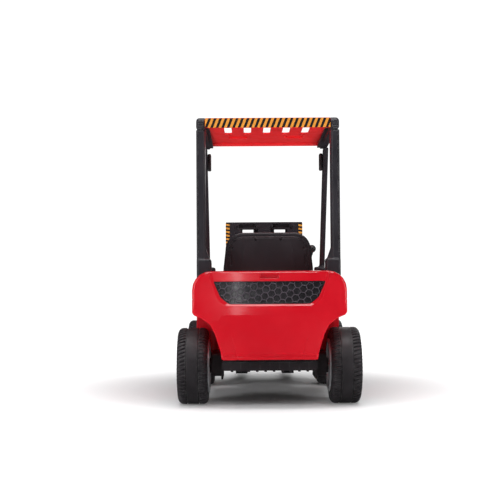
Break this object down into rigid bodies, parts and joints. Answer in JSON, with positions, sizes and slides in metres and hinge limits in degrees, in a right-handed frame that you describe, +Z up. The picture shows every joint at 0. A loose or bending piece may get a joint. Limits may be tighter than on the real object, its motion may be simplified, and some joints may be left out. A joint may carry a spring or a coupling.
{
  "type": "toy forklift",
  "caption": "Child's ride-on toy forklift: moulded body, overhead guard with a slotted roof, steered front wheels, geared rear drive and forks that rise on a mast.",
  "frame": {"origin": "on the ground, under the middle of the box round the whole vehicle", "axes": "+Y forward, towards the fork tips; +X to the driver's right; +Z up"},
  "size_m": [0.582, 1.18, 0.9186],
  "materials": {
    "red_shell": "glossy blow-moulded red, fine mould texture",
    "black_plastic": "satin black, light grain",
    "seat_black": "satin black, fine leather-like mould grain",
    "wheel_black": "satin black",
    "tyre_black": "satin black with a smooth centre band",
    "rim_silver": "silver-grey plastic",
    "mat_grey": "ribbed mat",
    "stripe": "orange and black slanted stripes",
    "lamp": "clear lens over a bright reflector",
    "steel": "bright zinc",
    "battery_case": "dull",
    "board_green": "satin",
    "gear_white": "natural nylon",
    "pinion_brass": "bright",
    "horn_red": "glossy",
    "button_yellow": "glossy",
    "button_red": "glossy"
  },
  "bodies": {
    "chassis": {"chassis_tub": "black_plastic", "rear_shell": "red_shell", "rear_grille": "black_plastic", "front_cowl": "red_shell", "dash_panel": "black_plastic", "floor_mat": "mat_grey", "seat_shell": "seat_black", "seat_back_cover": "seat_black", "guard_rear_posts": "black_plastic", "guard_top_rails": "black_plastic", "guard_front_pillars": "black_plastic", "roof_panel": "red_shell", "roof_stripe": "stripe", "work_lights": "lamp", "headlights": "lamp", "battery": "battery_case", "control_board": "board_green", "rear_axle": "steel", "gearbox_left": "black_plastic", "gearbox_right": "black_plastic", "drive_motors": "steel", "front_axle_beam": "black_plastic", "mast_rails": "black_plastic", "mast_crossbeams": "black_plastic", "mast_stripes": "stripe", "lift_motor": "steel", "lever_console": "black_plastic", "column_bush": "gear_white", "body_screws": "steel", "rear_axle_nuts": "steel"},
    "steering": {"steering_wheel": "wheel_black", "steering_column": "steel", "horn_pad": "horn_red"},
    "horn_button": {"horn_button": "button_yellow"},
    "knuckle_left": {"knuckle_left": "steel", "front_nut_left": "steel"},
    "knuckle_right": {"knuckle_right": "steel", "front_nut_right": "steel"},
    "tie_rod": {"tie_rod": "steel"},
    "front_wheel_left": {"front_tyre_left": "tyre_black", "front_rim_left": "rim_silver"},
    "front_wheel_right": {"front_tyre_right": "tyre_black", "front_rim_right": "rim_silver"},
    "rear_wheel_left": {"rear_tyre_left": "tyre_black", "rear_rim_left": "rim_silver", "drive_gear_left": "gear_white"},
    "rear_wheel_right": {"rear_tyre_right": "tyre_black", "rear_rim_right": "rim_silver", "drive_gear_right": "gear_white"},
    "drive_pinion_left": {"drive_pinion_left": "pinion_brass"},
    "drive_pinion_right": {"drive_pinion_right": "pinion_brass"},
    "carriage": {"carriage_plate": "black_plastic", "load_backrest": "black_plastic", "fork_left": "black_plastic", "fork_right": "black_plastic"},
    "lift_screw": {"lift_screw": "steel"},
    "lift_lever": {"lift_lever": "black_plastic"},
    "pedal": {"pedal": "black_plastic"},
    "power_button": {"power_button": "button_red"},
    "direction_rocker": {"direction_rocker": "black_plastic"}
  },
  "joints": [
    {"name": "steering_turn", "type": "hinge", "parent": "chassis", "child": "steering", "pos_m": [0, -0.03343, 0.44481], "axis": [0, -0.5, 0.866], "range_deg": [-32, 32]},
    {"name": "horn_press", "type": "slide", "parent": "steering", "child": "horn_button", "axis": [0, 0.5, -0.866], "range_m": [0, 0.003], "stiffness_N_per_m": 400, "springref_m": -0.002},
    {"name": "knuckle_left_turn", "type": "hinge", "parent": "chassis", "child": "knuckle_left", "pos_m": [-0.172, 0.135, 0.124], "axis": [0, 0, 1], "range_deg": [-25.5, 25.5]},
    {"name": "knuckle_right_turn", "type": "hinge", "parent": "chassis", "child": "knuckle_right", "pos_m": [0.172, 0.135, 0.124], "axis": [0, 0, 1], "range_deg": [-25.5, 25.5]},
    {"name": "tie_rod_swing", "type": "hinge", "parent": "knuckle_left", "child": "tie_rod", "pos_m": [-0.172, 0.075, 0.161], "axis": [0, 0, 1], "range_deg": [-25.5, 25.5]},
    {"name": "front_wheel_left_spin", "type": "hinge", "parent": "knuckle_left", "child": "front_wheel_left", "pos_m": [-0.243, 0.135, 0.122], "axis": [1, 0, 0], "continuous": true},
    {"name": "front_wheel_right_spin", "type": "hinge", "parent": "knuckle_right", "child": "front_wheel_right", "pos_m": [0.243, 0.135, 0.122], "axis": [1, 0, 0], "continuous": true},
    {"name": "rear_wheel_left_spin", "type": "hinge", "parent": "chassis", "child": "rear_wheel_left", "pos_m": [-0.243, -0.42, 0.122], "axis": [1, 0, 0], "continuous": true},
    {"name": "rear_wheel_right_spin", "type": "hinge", "parent": "chassis", "child": "rear_wheel_right", "pos_m": [0.243, -0.42, 0.122], "axis": [1, 0, 0], "continuous": true},
    {"name": "drive_pinion_left_spin", "type": "hinge", "parent": "chassis", "child": "drive_pinion_left", "pos_m": [-0.168, -0.3825, 0.122], "axis": [1, 0, 0], "continuous": true},
    {"name": "drive_pinion_right_spin", "type": "hinge", "parent": "chassis", "child": "drive_pinion_right", "pos_m": [0.168, -0.3825, 0.122], "axis": [1, 0, 0], "continuous": true},
    {"name": "fork_lift", "type": "slide", "parent": "chassis", "child": "carriage", "axis": [0, 0, 1], "range_m": [0, 0.3]},
    {"name": "lift_screw_spin", "type": "hinge", "parent": "chassis", "child": "lift_screw", "pos_m": [0, 0.29, 0.3], "axis": [0, 0, 1], "range_deg": [-20, 4340]},
    {"name": "lift_lever_tilt", "type": "hinge", "parent": "chassis", "child": "lift_lever", "pos_m": [0.125, -0.122, 0.3], "axis": [1, 0, 0], "range_deg": [-15, 15], "stiffness_Nm_per_rad": 0.6},
    {"name": "pedal_press", "type": "hinge", "parent": "chassis", "child": "pedal", "pos_m": [0.058, -0.102, 0.18], "axis": [-1, 0, 0], "range_deg": [0, 12], "stiffness_Nm_per_rad": 1.5, "springref_deg": -5.73},
    {"name": "power_press", "type": "slide", "parent": "chassis", "child": "power_button", "axis": [0, 0.5, -0.866], "range_m": [0, 0.003], "stiffness_N_per_m": 400, "springref_m": -0.002},
    {"name": "direction_rock", "type": "hinge", "parent": "chassis", "child": "direction_rocker", "pos_m": [-0.062, -0.03243, 0.44308], "axis": [1, 0, 0], "range_deg": [-8, 8]}
  ],
  "couplings": [
    {"joint": "knuckle_left_turn", "follows": "steering_turn", "ratio": 0.78},
    {"joint": "knuckle_right_turn", "follows": "steering_turn", "ratio": 0.78},
    {"joint": "tie_rod_swing", "follows": "steering_turn", "ratio": -0.78},
    {"joint": "drive_pinion_left_spin", "follows": "rear_wheel_left_spin", "ratio": -4},
    {"joint": "drive_pinion_right_spin", "follows": "rear_wheel_right_spin", "ratio": -4},
    {"joint": "lift_screw_spin", "follows": "fork_lift", "rad_per_m": 251.33}
  ]
}
